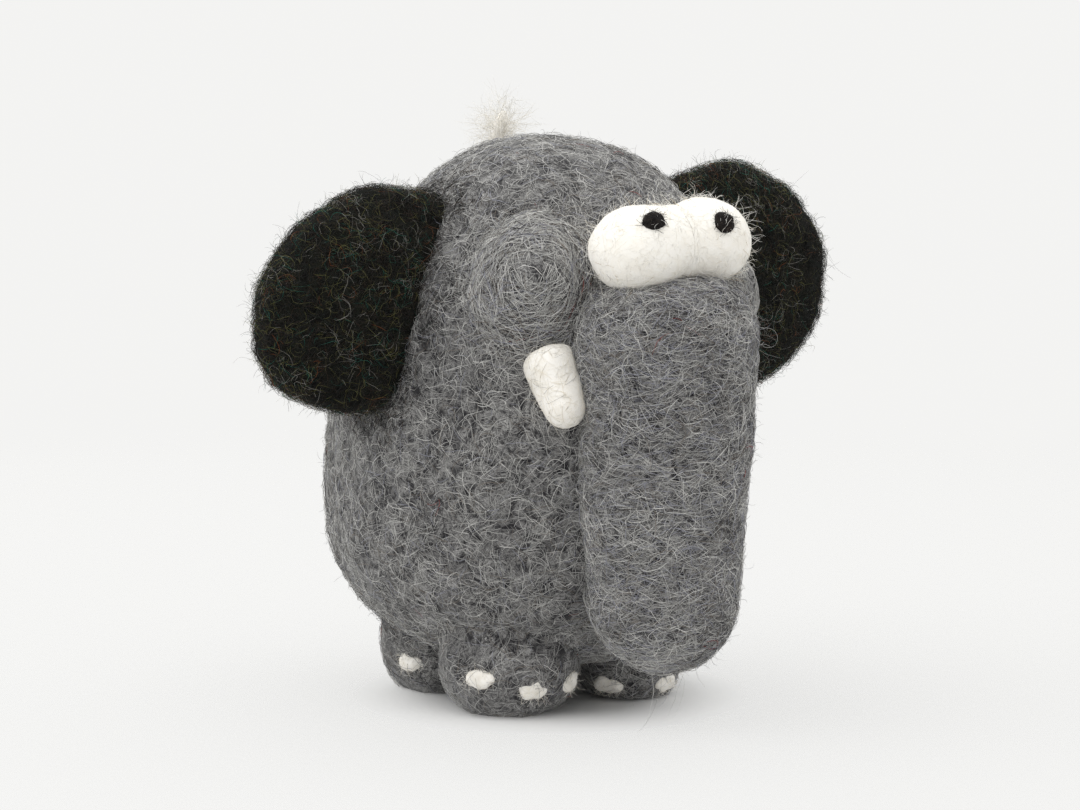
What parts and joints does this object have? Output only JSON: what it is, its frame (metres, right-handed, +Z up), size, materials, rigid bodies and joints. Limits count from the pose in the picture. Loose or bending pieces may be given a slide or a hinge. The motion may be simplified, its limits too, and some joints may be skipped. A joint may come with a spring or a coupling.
{
  "type": "needle-felted elephant figurine",
  "caption": "Solid needle-felted wool elephant on stubby feet, with a hanging trunk, side ears and an upright tail that flex a little by hand.",
  "frame": {"origin": "on the ground, under the middle of the figure's overall box", "axes": "+Z up; the elephant faces -Y; +X is its own left"},
  "size_m": [0.1065, 0.0911, 0.097],
  "materials": {
    "grey_wool": "matte fuzzy felt, mottled light and dark grey",
    "core_wool": "matte carded batting",
    "white_wool": "matte fuzzy felt, off-white",
    "black_wool": "matte felt, near black",
    "cream_wool": "matte felt, cream",
    "dark_wool": "matte fuzzy felt, very dark green and brown with coloured strands"
  },
  "bodies": {
    "body": {"body_core": "core_wool", "body_cover": "grey_wool", "trunk_root": "grey_wool", "right_cheek": "grey_wool", "left_cheek": "grey_wool", "right_eye": "white_wool", "left_eye": "white_wool", "right_pupil": "black_wool", "left_pupil": "black_wool", "right_tusk": "cream_wool", "left_tusk": "cream_wool", "front_right_foot": "grey_wool", "front_left_foot": "grey_wool", "rear_right_foot": "grey_wool", "rear_left_foot": "grey_wool", "front_right_outer_toenail": "cream_wool", "front_right_middle_toenail": "cream_wool", "front_right_inner_toenail": "cream_wool", "front_left_outer_toenail": "cream_wool", "front_left_middle_toenail": "cream_wool", "front_left_inner_toenail": "cream_wool", "rear_right_outer_toenail": "cream_wool", "rear_right_middle_toenail": "cream_wool", "rear_right_inner_toenail": "cream_wool", "rear_left_outer_toenail": "cream_wool", "rear_left_middle_toenail": "cream_wool", "rear_left_inner_toenail": "cream_wool"},
    "trunk": {"trunk_core": "core_wool", "trunk_cover": "grey_wool"},
    "right_ear": {"right_ear": "dark_wool"},
    "left_ear": {"left_ear": "dark_wool"},
    "tail": {"tail": "grey_wool", "tail_tuft": "cream_wool"}
  },
  "joints": [
    {"name": "trunk_flex", "type": "hinge", "parent": "body", "child": "trunk", "pos_m": [0, -0.033, 0.06], "axis": [-1, 0, 0], "range_deg": [0, 10], "stiffness_Nm_per_rad": 0.03},
    {"name": "right_ear_flex", "type": "hinge", "parent": "body", "child": "right_ear", "pos_m": [-0.0306, -0.001, 0.063], "axis": [0.3401, 0, 0.9404], "range_deg": [-10, 10], "stiffness_Nm_per_rad": 0.02},
    {"name": "left_ear_flex", "type": "hinge", "parent": "body", "child": "left_ear", "pos_m": [0.0306, -0.001, 0.063], "axis": [0.3401, 0, -0.9404], "range_deg": [-10, 10], "stiffness_Nm_per_rad": 0.02},
    {"name": "tail_flex", "type": "hinge", "parent": "body", "child": "tail", "pos_m": [0, 0.0371, 0.05], "axis": [0, 1, 0], "range_deg": [-12, 12], "stiffness_Nm_per_rad": 0.01}
  ]
}
